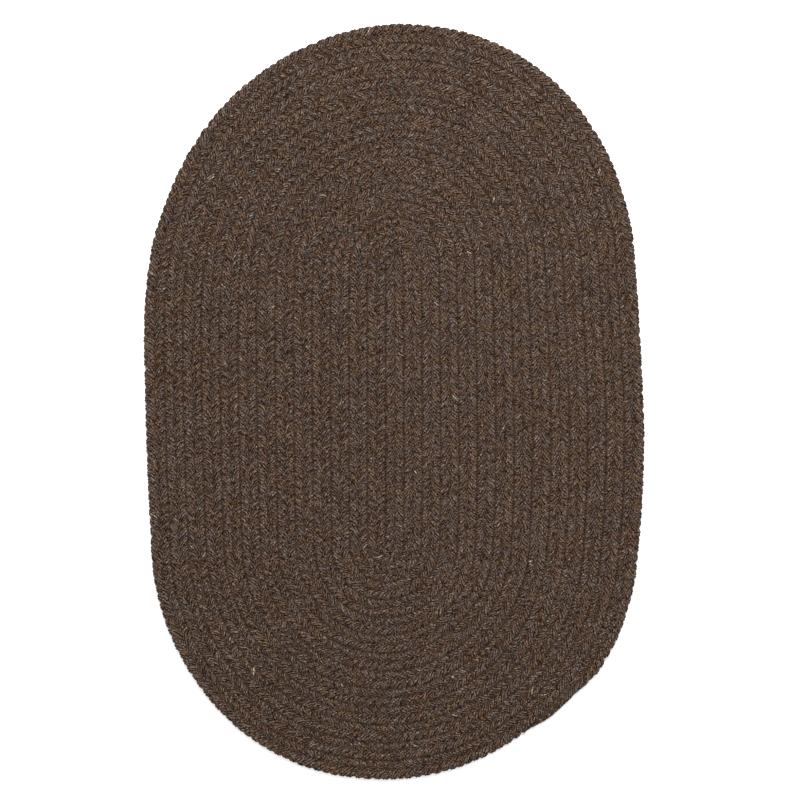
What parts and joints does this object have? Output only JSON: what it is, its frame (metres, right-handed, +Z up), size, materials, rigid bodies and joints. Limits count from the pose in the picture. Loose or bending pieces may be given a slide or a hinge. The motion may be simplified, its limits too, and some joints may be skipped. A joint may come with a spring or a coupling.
{
  "type": "braided rug",
  "caption": "Flat oval floor rug wound from one continuous braid of brown heather wool, laced edge to edge in a spiral.",
  "frame": {"origin": "middle of the rug's outline, on the underside that rests on the floor", "axes": "+Z up out of the floor, +Y along the length to the end where the braid starts, +X to the right-hand side seen from above"},
  "size_m": [0.6088, 0.9202, 0.0106],
  "materials": {
    "wool_braid": "matte heathered brown wool, loosely spun, in a flat three-strand braid"
  },
  "bodies": {
    "root": {"oval_braid": "wool_braid"}
  },
  "joints": []
}
